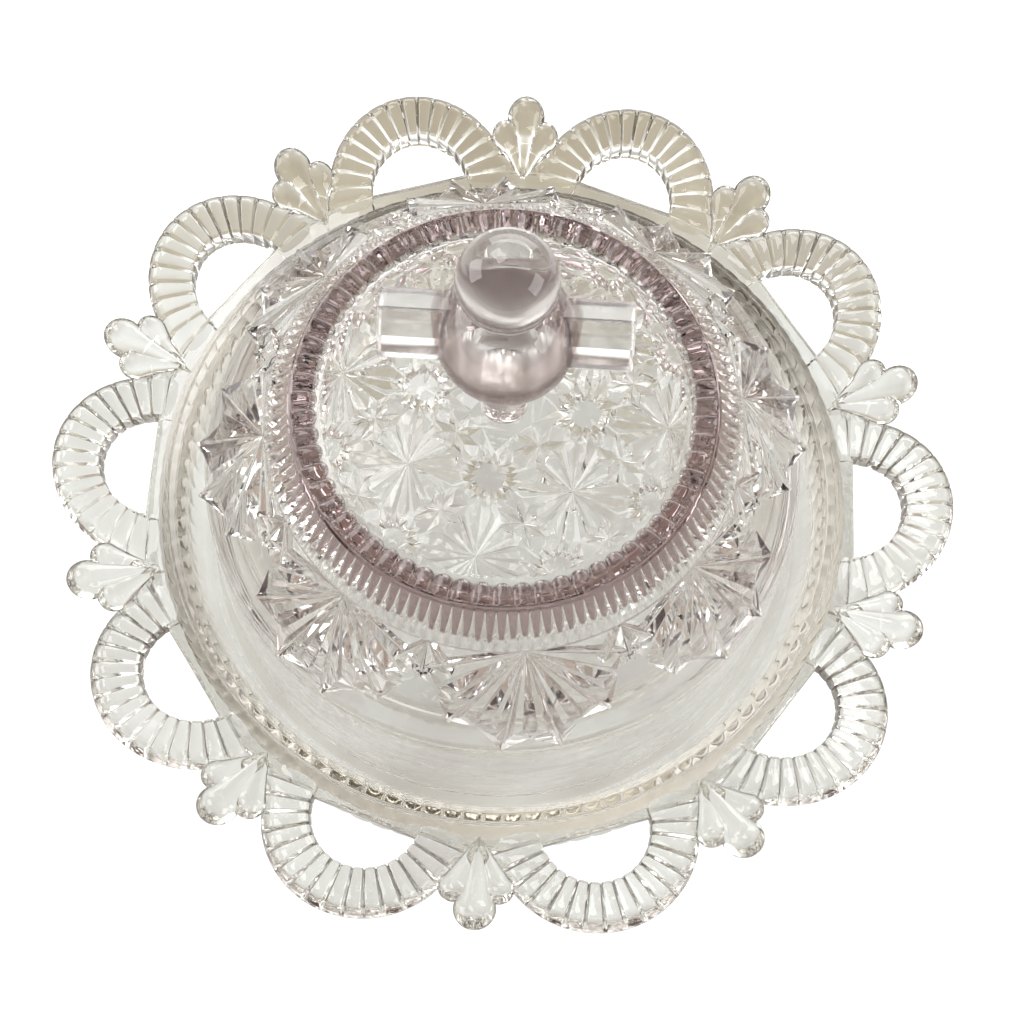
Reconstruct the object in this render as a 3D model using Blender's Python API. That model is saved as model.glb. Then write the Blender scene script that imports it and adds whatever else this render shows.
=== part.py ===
"""Covered butter dish in pressed glass.

Two pieces: a round dish with a ledge that the cover stands on and a pierced
border of ten loops and ten three-lobed palmettes, and a hollow cover with a
ribbed drum, eight fans on its shoulder and a moulded-in finial.

Frame: origin at the centre of the dish's foot on the table, +Z up, +X along
the finial's cross bar.  All lengths are metres.
"""
import math

import bmesh
import bpy
from mathutils import Vector

MM = 0.001
GAP = 0.3 * MM              # clearance between the cover's edge and the ledge

# Dish
RIM_Z = 32.0 * MM           # top of the smooth rim band
RIM_R = 81.6 * MM           # outer edge of the rim band, flat side of each loop opening
WELL_R = 73.5 * MM          # inner edge of the rim
LEDGE_Z = 9.0 * MM          # ledge that the cover stands on
LEDGE_R = 63.5 * MM         # inner edge of the ledge
FLOOR_Z = 6.0 * MM          # floor of the well
FOOT_R = 70.0 * MM          # outer edge of the flat foot ring
FOOT_IN_R = 52.0 * MM       # inner edge of the flat foot ring
RECESS = 1.2 * MM           # depth of the hollow inside the foot ring
DISH_STEPS = 80             # facets round the dish

# Border of loops and palmettes
SECTORS = 10
FIRST_PALMETTE = -90.0      # degrees, the palmette on the -Y side
LOOP_R = 80.3 * MM          # distance of each loop's centre from the axis
LOOP_HOLE = 12.1 * MM       # radius of the opening
LOOP_OUT = 22.7 * MM        # outer radius of the band
LOOP_THICK = 6.6 * MM
LOOP_STEPS = 12             # facets round each half ring
BORDER_Z = 29.5 * MM        # middle of the band where it leaves the rim
BORDER_SLOPE = 0.35         # rise of the border per unit of radius
LEG_IN = 5.0 * MM           # how far a loop's legs run into the rim

# Palmette: three teardrop lobes from one apex
APEX_R = 79.5 * MM
LOBE_TIP_R = (94.5 * MM, 100.0 * MM, 94.5 * MM)
LOBE_SPREAD = (-23.0, 0.0, 23.0)
LOBE_BULB = (3.5 * MM, 4.6 * MM, 3.5 * MM)
LOBE_LIFT = 2.2 * MM        # lobes' centre line above the band's middle
LOBE_SIDES = 6

# Cover
EDGE_R = 68.6 * MM          # outer radius of the cover's lower edge
SHOULDER_R = 65.0 * MM      # lower end of the sloping shoulder
SHOULDER_Z = 58.6 * MM
DRUM_LOW_R = 48.8 * MM
DRUM_LOW_Z = 75.0 * MM
DRUM_TOP_R = 42.9 * MM
DRUM_TOP_Z = 84.3 * MM
TOP_RING_R = 37.5 * MM      # inner edge of the plain ring round the top pattern
TOP_DIP = 1.0 * MM          # depth of the patterned top below the ring
WALL = 4.5 * MM
COVER_STEPS = 88            # facets round the cover

# Fans on the shoulder
FANS = 8
FAN_TURN = 8.5              # degrees from +X to the first fan
FAN_RAYS = (-71.0, -42.6, -14.2, 14.2, 42.6, 71.0)
FAN_LENGTH = 22.3 * MM      # length of a ray along the slope
FAN_NOTCH = 0.75            # how far out the valley between two rays ends
FAN_RELIEF = 2.4 * MM       # height of the tips over the slope
FAN_ROOT = 1.4 * MM         # how deep a fan is set into the shoulder
KITE_RAYS = (-38.0, 0.0, 38.0)
KITE_LENGTH = 9.0 * MM      # rays of the small fan between two large ones

# Finial
STEM_R = 5.4 * MM
STEM_ROOT_R = 4.7 * MM
STEM_BAND = 2.5 * MM        # height of the straight root of the stem
STEM_EASE = 14.0 * MM       # height at which the stem reaches its full radius
BALL_Z = 115.6 * MM
BALL_R = 13.0 * MM
TOP_BALL_Z = 136.6 * MM
TOP_BALL_R = 9.0 * MM
NECK_R = 5.0 * MM
BAR_Z = 117.5 * MM
BAR_R = 6.7 * MM
BAR_LENGTH = 45.6 * MM
FINIAL_STEPS = 24


def clear_scene():
    for item in list(bpy.data.objects):
        bpy.data.objects.remove(item, do_unlink=True)


def glass(name, colour, roughness):
    material = bpy.data.materials.new(name)
    material.use_nodes = True
    shader = material.node_tree.nodes["Principled BSDF"]
    shader.inputs["Base Color"].default_value = (*colour, 1.0)
    shader.inputs["Roughness"].default_value = roughness
    shader.inputs["Metallic"].default_value = 0.0
    shader.inputs["IOR"].default_value = 1.52
    shader.inputs["Transmission Weight"].default_value = 1.0
    return material


def add_object(name, shape, material):
    bmesh.ops.recalc_face_normals(shape, faces=shape.faces)
    mesh = bpy.data.meshes.new(name)
    shape.to_mesh(mesh)
    shape.free()
    mesh.materials.append(material)
    mesh.shade_smooth()
    mesh.set_sharp_from_angle(angle=math.radians(28))
    item = bpy.data.objects.new(name, mesh)
    bpy.context.collection.objects.link(item)
    return item


def add_turned(shape, profile, steps):
    """Spin a profile, given as (radius, z) from the axis to the axis, about Z."""
    points = [shape.verts.new((radius, 0.0, z)) for radius, z in profile]
    edges = [shape.edges.new(pair) for pair in zip(points, points[1:])]
    bmesh.ops.spin(
        shape, geom=points + edges, cent=(0, 0, 0), axis=(0, 0, 1),
        angle=math.tau, steps=steps, use_merge=True)
    bmesh.ops.remove_doubles(shape, verts=shape.verts, dist=1e-6)


def add_skin(shape, rings):
    """Join rings of points into one closed body with flat ends."""
    loops = [[shape.verts.new(point) for point in ring] for ring in rings]
    count = len(rings[0])
    for near, far in zip(loops, loops[1:]):
        for i in range(count):
            j = (i + 1) % count
            shape.faces.new((near[i], near[j], far[j], far[i]))
    shape.faces.new(loops[0])
    shape.faces.new(reversed(loops[-1]))


def arc(centre_r, centre_z, radius, start, end, steps):
    """Points of an arc in the (radius, z) plane, angles in degrees from outward."""
    points = []
    for i in range(steps + 1):
        angle = math.radians(start + (end - start) * i / steps)
        points.append((centre_r + radius * math.cos(angle), centre_z + radius * math.sin(angle)))
    return points


def sector_point(turn, x, y, z):
    """World place of a point given outward, sideways and up in a sector's frame."""
    angle = math.radians(turn)
    return Vector((
        x * math.cos(angle) - y * math.sin(angle),
        x * math.sin(angle) + y * math.cos(angle),
        z))


def border_z(x):
    return BORDER_Z + BORDER_SLOPE * (x - LOOP_R)


# ---------------------------------------------------------------- dish

def dish_profile():
    return [
        (0.0, RECESS),
        (FOOT_IN_R - RECESS, RECESS),
        (FOOT_IN_R, 0.0),
        (FOOT_R, 0.0),
        (FOOT_R + 3.0 * MM, 1.5 * MM),
        (RIM_R - 5.0 * MM, 5.5 * MM),
        (RIM_R - 2.4 * MM, 11.0 * MM),
        (RIM_R - 1.2 * MM, 18.0 * MM),
        (RIM_R - 1.2 * MM, RIM_Z - 6.0 * MM),
        (RIM_R, RIM_Z - 4.0 * MM),
        (RIM_R, RIM_Z - 0.8 * MM),
        (RIM_R - 0.8 * MM, RIM_Z),
        (WELL_R + 3.6 * MM, RIM_Z),
        (WELL_R + 3.3 * MM, RIM_Z + 0.8 * MM),
        (WELL_R + 1.5 * MM, RIM_Z + 0.8 * MM),
        (WELL_R, RIM_Z - 1.5 * MM),
        (WELL_R - 1.0 * MM, LEDGE_Z + 8.0 * MM),
        (WELL_R - 2.0 * MM, LEDGE_Z + 1.0 * MM),
        (WELL_R - 3.0 * MM, LEDGE_Z),
        (LEDGE_R, LEDGE_Z),
        (LEDGE_R - 1.5 * MM, FLOOR_Z),
        (0.0, FLOOR_Z),
    ]


def loop_section():
    """Cross-section of the loop band: across the band and up from its middle."""
    half = (LOOP_OUT - LOOP_HOLE) / 2
    tall = LOOP_THICK / 2
    return [
        (-half, -0.55 * tall),
        (-half, 0.55 * tall),
        (-0.72 * half, 0.95 * tall),
        (0.35 * half, tall),
        (0.82 * half, 0.6 * tall),
        (half, -0.05 * tall),
        (0.82 * half, -0.65 * tall),
        (0.3 * half, -tall),
        (-0.72 * half, -0.95 * tall),
    ]


def add_loop(shape, turn):
    """Half ring standing out of the rim, with two legs that run into it."""
    middle = (LOOP_OUT + LOOP_HOLE) / 2
    stations = [(-LEG_IN, -90.0)]
    stations += [(0.0, -90.0 + 180.0 * i / LOOP_STEPS) for i in range(LOOP_STEPS + 1)]
    stations += [(-LEG_IN, 90.0)]
    rings = []
    for inset, degrees in stations:
        angle = math.radians(degrees)
        ring = []
        for across, up in loop_section():
            reach = middle + across
            x = LOOP_R + inset + reach * math.cos(angle)
            y = reach * math.sin(angle)
            ring.append(sector_point(turn, x, y, border_z(x) + up))
        rings.append(ring)
    add_skin(shape, rings)


def add_web(shape, turn):
    """Solid glass under a palmette, between two neighbouring loops."""
    half = LOOP_THICK / 2 - 0.6 * MM
    outline = [
        (RIM_R - 4.0 * MM, 9.0 * MM),
        (LOOP_R + 3.0 * MM, 9.0 * MM),
        (LOOP_R + 9.0 * MM, 7.0 * MM),
        (LOOP_R + 12.5 * MM, 4.0 * MM),
    ]
    outline += [(x, -y) for x, y in reversed(outline)]
    lower = [sector_point(turn, x, y, border_z(x) - half) for x, y in outline]
    upper = [sector_point(turn, x, y, border_z(x) + half) for x, y in outline]
    add_skin(shape, [lower, upper])


def add_lobe(shape, turn, spread, tip_r, bulb):
    """One teardrop of a palmette, thin at the apex and round at its tip."""
    length = (tip_r - APEX_R) / math.cos(math.radians(spread))
    side = math.tan(math.radians(spread))
    shares = ((0.0, 0.12), (0.3, 0.42), (0.6, 0.78), (0.8, 1.0), (0.93, 0.8), (1.0, 0.3))
    rings = []
    for along, thickness in shares:
        ring = []
        x = APEX_R + along * (tip_r - APEX_R)
        y = along * (tip_r - APEX_R) * side
        for i in range(LOBE_SIDES):
            angle = math.tau * (i + 0.5) / LOBE_SIDES
            across = bulb * thickness * math.cos(angle)
            up = LOBE_LIFT + bulb * thickness * math.sin(angle)
            cosine = (tip_r - APEX_R) / length
            ring.append(sector_point(
                turn,
                x - across * math.sin(math.radians(spread)),
                y + across * cosine,
                border_z(x) + up))
        rings.append(ring)
    add_skin(shape, rings)


def make_border(material):
    shape = bmesh.new()
    for k in range(SECTORS):
        palmette = FIRST_PALMETTE + 360.0 * k / SECTORS
        add_loop(shape, palmette + 180.0 / SECTORS)
        add_web(shape, palmette)
        for spread, tip_r, bulb in zip(LOBE_SPREAD, LOBE_TIP_R, LOBE_BULB):
            add_lobe(shape, palmette, spread, tip_r, bulb)
    return add_object("border_guide", shape, material)


def make_dish(material):
    shape = bmesh.new()
    add_turned(shape, dish_profile(), DISH_STEPS)
    dish = add_object("dish", shape, material)
    unite(dish, make_border(material))
    return dish


# ---------------------------------------------------------------- cover

def cover_profile():
    """Outside from the middle of the top down to the edge, then back up inside."""
    top = DRUM_TOP_Z
    edge_z = LEDGE_Z + GAP
    return [
        (0.0, top - TOP_DIP),
        (TOP_RING_R - 0.6 * MM, top - TOP_DIP),
        (TOP_RING_R, top),
        (DRUM_TOP_R - 0.8 * MM, top),
        (DRUM_TOP_R, top - 0.6 * MM),
        (DRUM_LOW_R, DRUM_LOW_Z + 0.8 * MM),
        (DRUM_LOW_R + 0.2 * MM, DRUM_LOW_Z - 0.4 * MM),
        (SHOULDER_R, SHOULDER_Z),
        (SHOULDER_R + 0.6 * MM, SHOULDER_Z - 4.0 * MM),
        (SHOULDER_R + 2.2 * MM, RIM_Z),
        (EDGE_R, edge_z + 1.5 * MM),
        (EDGE_R - 0.8 * MM, edge_z),
        (EDGE_R - WALL + 0.6 * MM, edge_z),
        (EDGE_R - WALL, edge_z + 1.0 * MM),
        (SHOULDER_R + 2.2 * MM - WALL, RIM_Z),
        (SHOULDER_R + 0.2 * MM - WALL, SHOULDER_Z - 4.5 * MM),
        (SHOULDER_R - 1.8 * MM - WALL, SHOULDER_Z - 1.0 * MM),
        (DRUM_LOW_R + 0.4 * MM - WALL, DRUM_LOW_Z - 5.5 * MM),
        (DRUM_TOP_R - WALL + 0.8 * MM, top - WALL - TOP_DIP - 0.8 * MM),
        (DRUM_TOP_R - WALL - 0.8 * MM, top - WALL - TOP_DIP),
        (0.0, top - WALL - TOP_DIP),
    ]


def shoulder_point(turn, down, side, lift):
    """World place of a point on the sloping shoulder.

    down runs along the slope from the drum, side along it, lift stands off it.
    """
    run = SHOULDER_R - DRUM_LOW_R
    drop = DRUM_LOW_Z - SHOULDER_Z
    slant = math.hypot(run, drop)
    radius = DRUM_LOW_R + (down * run + lift * drop) / slant
    z = DRUM_LOW_Z + (lift * run - down * drop) / slant
    on_slope = DRUM_LOW_R + down * run / slant
    angle = math.radians(turn) + side / on_slope
    return Vector((radius * math.cos(angle), radius * math.sin(angle), z))


def fan_outline(rays, length):
    """Tips and valley ends of a fan, as (down, side, height) in order."""
    points = []
    for i, ray in enumerate(rays):
        if i:
            middle = math.radians((ray + rays[i - 1]) / 2)
            reach = length * FAN_NOTCH
            points.append((reach * math.cos(middle), reach * math.sin(middle), 0.3 * FAN_RELIEF))
        angle = math.radians(ray)
        points.append((length * math.cos(angle), length * math.sin(angle), FAN_RELIEF))
    return points


def add_fan(shape, turn, rays, length):
    """One fan: rays that rise from the apex to their tips, with valleys between."""
    outline = fan_outline(rays, length)
    rings = {"top": [(0.0, 0.0, 0.2 * MM)] + outline}
    rings["root"] = [(down, side, -FAN_ROOT) for down, side, _ in rings["top"]]
    top, root = (
        [shape.verts.new(shoulder_point(turn, *point)) for point in rings[key]]
        for key in ("top", "root"))
    count = len(top)
    for i in range(count):
        j = (i + 1) % count
        shape.faces.new((top[i], top[j], root[j], root[i]))
    for i in range(1, count - 1):
        shape.faces.new((top[0], top[i], top[i + 1]))
        shape.faces.new((root[0], root[i + 1], root[i]))


def make_fans(material):
    shape = bmesh.new()
    for k in range(FANS):
        turn = FAN_TURN + 360.0 * k / FANS
        add_fan(shape, turn, FAN_RAYS, FAN_LENGTH)
        add_fan(shape, turn + 180.0 / FANS, KITE_RAYS, KITE_LENGTH)
    return add_object("fan_guide", shape, material)


def finial_profile():
    """Stem, ball, neck and top ball, from the axis below to the axis on top."""
    root_z = DRUM_TOP_Z - TOP_DIP - 1.5 * MM
    neck_z = (BALL_Z + BALL_R + TOP_BALL_Z - TOP_BALL_R) / 2
    stem_angle = -math.degrees(math.acos(STEM_R / BALL_R))
    low_neck = math.degrees(math.acos(NECK_R / BALL_R))
    high_neck = -math.degrees(math.acos(NECK_R / TOP_BALL_R))
    points = [
        (0.0, root_z),
        (STEM_ROOT_R, root_z),
        (STEM_ROOT_R, root_z + STEM_BAND),
        (STEM_R, root_z + STEM_EASE),
    ]
    points += arc(0.0, BALL_Z, BALL_R, stem_angle, low_neck, 8)
    points += [(NECK_R, neck_z)]
    points += arc(0.0, TOP_BALL_Z, TOP_BALL_R, high_neck, 90.0, 8)[:-1]
    points += [(0.0, TOP_BALL_Z + TOP_BALL_R)]
    return points


def add_bar(shape):
    """Eight-sided cross bar through the lower ball, along X."""
    rings = []
    for x in (-BAR_LENGTH / 2, BAR_LENGTH / 2):
        ring = []
        for i in range(8):
            angle = math.tau * (i + 0.5) / 8
            ring.append(Vector((x, BAR_R * math.cos(angle), BAR_Z + BAR_R * math.sin(angle))))
        rings.append(ring)
    add_skin(shape, rings)


def make_finial(material):
    shape = bmesh.new()
    add_turned(shape, finial_profile(), FINIAL_STEPS)
    add_bar(shape)
    return add_object("finial_guide", shape, material)


def make_cover(material):
    shape = bmesh.new()
    add_turned(shape, cover_profile(), COVER_STEPS)
    cover = add_object("cover", shape, material)
    unite(cover, make_fans(material))
    unite(cover, make_finial(material))
    return cover


def unite(target, guide):
    """Join a hidden guide's solids, which may cross one another, to a piece."""
    guide.hide_render = True
    guide.display_type = "WIRE"
    union = target.modifiers.new("unite_" + guide.name, "BOOLEAN")
    union.operation = "UNION"
    union.solver = "EXACT"
    union.use_self = True
    union.object = guide


def main():
    clear_scene()
    make_dish(glass("dish_glass", (0.90, 0.92, 0.88), 0.05))
    make_cover(glass("cover_glass", (0.91, 0.89, 0.90), 0.05))


main()
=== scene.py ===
"""Looks of the covered butter dish: two pieces of clear pressed glass.

Shapes and their constants are in millimetres in the part's frame (origin at the
centre of the foot, +Z up, +X along the finial's cross bar) until a mesh is made.
Shaders, the floor, the lights and the camera are in metres.
"""
import math

import bpy
import numpy as np
from mathutils import Matrix, Vector
from mathutils.geometry import delaunay_2d_cdt


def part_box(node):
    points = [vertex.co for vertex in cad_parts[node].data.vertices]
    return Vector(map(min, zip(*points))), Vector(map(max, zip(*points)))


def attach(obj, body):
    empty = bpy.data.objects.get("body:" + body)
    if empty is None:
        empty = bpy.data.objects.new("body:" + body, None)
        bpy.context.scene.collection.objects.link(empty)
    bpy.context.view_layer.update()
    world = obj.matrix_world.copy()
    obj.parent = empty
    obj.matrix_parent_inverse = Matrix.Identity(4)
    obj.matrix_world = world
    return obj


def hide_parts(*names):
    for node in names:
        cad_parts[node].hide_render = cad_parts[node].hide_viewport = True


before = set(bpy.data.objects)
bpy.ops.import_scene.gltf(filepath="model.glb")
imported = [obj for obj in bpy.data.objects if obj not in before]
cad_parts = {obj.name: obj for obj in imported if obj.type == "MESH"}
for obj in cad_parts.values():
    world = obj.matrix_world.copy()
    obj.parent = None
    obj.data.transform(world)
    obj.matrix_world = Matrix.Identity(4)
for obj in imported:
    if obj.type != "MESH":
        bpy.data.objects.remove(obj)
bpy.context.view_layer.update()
dish_low, dish_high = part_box("dish")
cover_low, cover_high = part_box("cover")

MM = 0.001
TABLE_Z = dish_low.z / MM
EDGE_Z = cover_low.z / MM           # lower edge of the cover, just above the ledge
OUTER_R = dish_high.x / MM          # outermost point of the loops
SKIRT_R = cover_high.x / MM         # cover's lower edge
TOP_Z = cover_high.z / MM           # top of the finial

# Dish
RIM_Z = TABLE_Z + 32.0
RIM_R = OUTER_R - 21.4
WELL_R = 73.5
LEDGE_Z = EDGE_Z - 0.3
LEDGE_R = 63.5
FLOOR_Z = LEDGE_Z - 3.0
FOOT_R = 70.0
FOOT_IN_R = 52.0
RECESS = 1.2
WALL_RIBS = 100
WALL_COLUMNS = 600
BASE_RAYS = 30

# Border
SECTORS = 10
FIRST_PALMETTE = -90.0
LOOP_R = OUTER_R - 22.7
LOOP_HOLE = 12.1
LOOP_OUT = 22.7
LOOP_HALF_THICK = 3.3
LOOP_RIBS = 16
LEG_RIBS = 2
LEG_PITCH = 3.0
GROOVE = 1.35                       # depth of the grooves between a loop's ribs
LOOP_FLARE = 2.9                    # how far a loop's outer side spreads where its legs start
LOOP_FLARE_FROM = 66.0              # degrees round the loop, to 90 at the legs
LEG_SLANT = 0.42
BORDER_Z = RIM_Z - 2.5
BORDER_SLOPE = 0.35

# Cover
SHOULDER_R = 65.0
SHOULDER_Z = TABLE_Z + 58.6
DRUM_LOW_R = 48.8
DRUM_LOW_Z = TABLE_Z + 75.0
DRUM_TOP_R = 42.9
DRUM_TOP_Z = TABLE_Z + 84.3
PATTERN_R = 37.5
WALL = 4.5
DRUM_RIBS = 128
RING_ARCHES = 64
COVER_COLUMNS = 1024

# Fans
FANS = 8
FAN_TURN = 8.5
FAN_RAYS = (-71.0, -42.6, -14.2, 14.2, 42.6, 71.0)
FAN_LENGTH = 24.5
FAN_CUTS = ((0.17, 0.90, -2.3), (0.34, 0.81, -0.7), (0.5, 0.74, -3.3), (0.66, 0.81, -0.7),
            (0.83, 0.90, -2.3))
KITE_RAYS = (-40.0, 0.0, 40.0)
KITE_LENGTH = 9.0
KITE_CUTS = ((0.5, 0.73, -1.8),)

# Top pattern
CELL = 16.5
PATTERN_TURN = -6.5

# Finial
BALL_Z = TOP_Z - 30.0               # lower ball
BALL_R = 13.0
TOP_BALL_R = 9.0
TOP_BALL_Z = TOP_Z - TOP_BALL_R
BAR_Z = BALL_Z + 1.9
BAR_HALF = 22.8
BAR_R = 6.7
BAR_FLUTES = 8
BAR_HOLLOW = 0.65                   # depth of each flute


# ------------------------------------------------------------ mesh helpers

class Shape:
    """Points and faces of a closed surface, in millimetres."""

    def __init__(self):
        self.points = []
        self.faces = []

    def add(self, points):
        start = len(self.points)
        self.points.extend(tuple(p) for p in points)
        return list(range(start, len(self.points)))

    def bridge(self, near, far):
        count = len(near)
        for i in range(count):
            j = (i + 1) % count
            self.faces.append((near[i], near[j], far[j], far[i]))

    def close(self, ring, middle):
        centre = self.add([middle])[0]
        count = len(ring)
        for i in range(count):
            self.faces.append((ring[i], ring[(i + 1) % count], centre))

    def skin(self, rings):
        """Closed body through rings of points, with a fan of faces at each end."""
        made = [self.add(ring) for ring in rings]
        for near, far in zip(made, made[1:]):
            self.bridge(near, far)
        self.close(made[0][::-1], np.mean(rings[0], axis=0))
        self.close(made[-1], np.mean(rings[-1], axis=0))

    def copy_turned(self, other, degrees):
        angle = math.radians(degrees)
        cosine, sine = math.cos(angle), math.sin(angle)
        start = len(self.points)
        self.points.extend(
            (x * cosine - y * sine, x * sine + y * cosine, z) for x, y, z in other.points)
        self.faces.extend(tuple(i + start for i in face) for face in other.faces)


def make_object(name, shape):
    mesh = bpy.data.meshes.new(name)
    mesh.from_pydata([(x * MM, y * MM, z * MM) for x, y, z in shape.points], [], shape.faces)
    mesh.validate()
    item = bpy.data.objects.new(name, mesh)
    bpy.context.collection.objects.link(item)
    return item


def unite(name, base, parts):
    """One closed surface from a base and the parts that are sunk into it."""
    for part in parts:
        union = base.modifiers.new("unite", "BOOLEAN")
        union.operation = "UNION"
        union.solver = "MANIFOLD"
        union.object = part
    bpy.context.view_layer.update()
    evaluated = base.evaluated_get(bpy.context.evaluated_depsgraph_get())
    mesh = bpy.data.meshes.new_from_object(evaluated)
    mesh.name = name
    for item in [base, *parts]:
        bpy.data.objects.remove(item, do_unlink=True)
    whole = bpy.data.objects.new(name, mesh)
    bpy.context.collection.objects.link(whole)
    return whole


def finish_surface(item, material, sharp_degrees):
    mesh = item.data
    mesh.materials.clear()
    mesh.materials.append(material)
    mesh.shade_smooth()
    mesh.set_sharp_from_angle(angle=math.radians(sharp_degrees))


def turned(rows, columns, low_pole, high_pole):
    """Closed body of revolution whose rows are (radius, z) or functions of the angles."""
    angles = np.arange(columns) * (2 * math.pi / columns)
    shape = Shape()
    rings = []
    for radius, z in rows:
        r = radius(angles) if callable(radius) else np.full(columns, float(radius))
        h = z(angles) if callable(z) else np.full(columns, float(z))
        rings.append(shape.add(np.stack([r * np.cos(angles), r * np.sin(angles), h], axis=1)))
    for near, far in zip(rings, rings[1:]):
        shape.bridge(near, far)
    if low_pole is not None:
        shape.close(rings[0][::-1], (0.0, 0.0, low_pole))
    if high_pole is not None:
        shape.close(rings[-1], (0.0, 0.0, high_pole))
    return shape, rings


def smooth_rows(points, step):
    """(radius, z) rows along straight runs, no further apart than step."""
    rows = [points[0]]
    for (r0, z0), (r1, z1) in zip(points, points[1:]):
        count = max(1, math.ceil(math.hypot(r1 - r0, z1 - z0) / step))
        rows += [(r0 + (r1 - r0) * i / count, z0 + (z1 - z0) * i / count)
                 for i in range(1, count + 1)]
    return rows


def rounded(points, radius, steps=4):
    """The (radius, z) outline with each inner corner replaced by a short curve."""
    result = [points[0]]
    for before, corner, after in zip(points, points[1:], points[2:]):
        a, b, c = (np.array(p, float) for p in (before, corner, after))
        into, out = a - b, c - b
        reach = min(radius, 0.45 * np.linalg.norm(into), 0.45 * np.linalg.norm(out))
        start = b + into / np.linalg.norm(into) * reach
        end = b + out / np.linalg.norm(out) * reach
        for i in range(steps + 1):
            t = i / steps
            result.append(tuple((1 - t) ** 2 * start + 2 * t * (1 - t) * b + t * t * end))
    result.append(points[-1])
    return result


# ------------------------------------------------------------ dish

def wall_scallop(angles):
    """1 on the crest of an outer wall rib, 0 in the groove between two."""
    place = (angles * WALL_RIBS / (2 * math.pi)) % 1.0
    return np.sqrt(np.maximum(0.0, 1 - (0.97 * (2 * place - 1)) ** 2))


def rim_edge(inset):
    """Rim outline: straight across each loop's opening, round under the palmettes."""
    def radius(angles):
        pitch = 2 * math.pi / SECTORS
        first = math.radians(FIRST_PALMETTE) + pitch / 2
        off = (angles - first + pitch / 2) % pitch - pitch / 2
        return (RIM_R - inset) / np.cos(np.minimum(np.abs(off), math.radians(9.0)))
    return radius


def base_rays(depth):
    """Underside of the floor: V rays of the given depth about the axis."""
    def height(angles):
        place = (angles * BASE_RAYS / (2 * math.pi)) % 1.0
        return TABLE_Z + RECESS + depth * np.abs(2 * place - 1)
    return height


def ribbed(radius, depth):
    return lambda angles: radius - depth * (1 - wall_scallop(angles))


def make_dish_body():
    under = rounded([(4.0, TABLE_Z + RECESS), (FOOT_IN_R - 1.5, TABLE_Z + RECESS), (FOOT_IN_R, TABLE_Z),
                     (FOOT_R, TABLE_Z)], 0.8)
    rows = [(radius, base_rays(depth)) for radius, depth in
            ((4.0, 0.0), (20.0, 0.0), (26.0, 0.3), (35.0, 0.7), (46.0, 0.7), (49.5, 0.0))]
    rows += smooth_rows(under[1:], 8.0)
    wall = [(FOOT_R + 2.6, 1.1, 0.0), (75.0, 3.6, 0.3), (77.8, 6.6, 0.4), (79.6, 10.0, 0.4),
            (80.8, 14.0, 0.4), (81.2, 18.0, 0.4), (80.9, 22.0, 0.4), (80.2, 25.0, 0.4), (79.8, 26.6, 0.3)]
    rows += [(ribbed(radius, depth), TABLE_Z + z) for radius, z, depth in wall]
    rows += [(rim_edge(0.9), RIM_Z - 4.9), (rim_edge(0.2), RIM_Z - 4.4), (rim_edge(0.0), RIM_Z - 3.6),
             (rim_edge(0.0), RIM_Z - 1.2), (rim_edge(0.25), RIM_Z - 0.5), (rim_edge(0.8), RIM_Z - 0.1),
             (rim_edge(1.5), RIM_Z)]
    inside = rounded([(RIM_R - 2.0, RIM_Z), (WELL_R + 3.9, RIM_Z), (WELL_R + 3.5, RIM_Z + 0.4),
                      (WELL_R + 1.6, RIM_Z + 0.4), (WELL_R + 1.0, RIM_Z - 0.2), (WELL_R, RIM_Z - 1.6),
                      (WELL_R - 1.0, LEDGE_Z + 8.0), (WELL_R - 2.0, LEDGE_Z + 1.0), (WELL_R - 3.0, LEDGE_Z),
                      (LEDGE_R, LEDGE_Z), (LEDGE_R - 1.5, FLOOR_Z), (4.0, FLOOR_Z)], 0.7, 3)
    rows += smooth_rows(inside, 6.0)
    shape, _ = turned(rows, WALL_COLUMNS, TABLE_Z + RECESS, FLOOR_Z)
    return make_object("dish_body", shape)


def border_z(x):
    return BORDER_Z + BORDER_SLOPE * (x - LOOP_R)


def loop_section():
    """Across the band (-1 inner, 1 outer), up (1 top) and share of the groove's depth there."""
    return [(-1.0, 0.0, 0.6), (-1.0, 0.5, 0.8), (-0.97, 0.86, 1.0), (-0.88, 1.0, 1.0), (-0.5, 1.04, 1.0),
            (0.0, 1.04, 1.0), (0.3, 1.0, 1.0), (0.44, 0.95, 1.0), (0.54, 0.86, 1.0), (0.62, 0.76, 0.95),
            (0.72, 0.6, 0.85), (0.88, 0.3, 0.6), (0.98, 0.0, 0.2), (1.0, -0.2, 0.0), (0.96, -0.5, 0.0),
            (0.82, -0.8, 0.0), (0.55, -0.95, 0.0), (0.0, -1.0, 0.0), (-0.55, -1.0, 0.0), (-0.9, -0.92, 0.0),
            (-1.0, -0.7, 0.2)]


def rib_stations():
    """Places along a loop, with 1 on a rib and 0 in the groove between two ribs."""
    profile = ((0.0, 0.0), (0.06, 0.45), (0.12, 0.84), (0.19, 0.97),
               (0.5, 1.08), (0.81, 0.97), (0.88, 0.84), (0.94, 0.45))
    stations = []
    for k in range(-LEG_RIBS, LOOP_RIBS + LEG_RIBS):
        stations += [(k + share, height) for share, height in profile]
    stations.append((LOOP_RIBS + LEG_RIBS, 0.0))
    return stations


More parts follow.
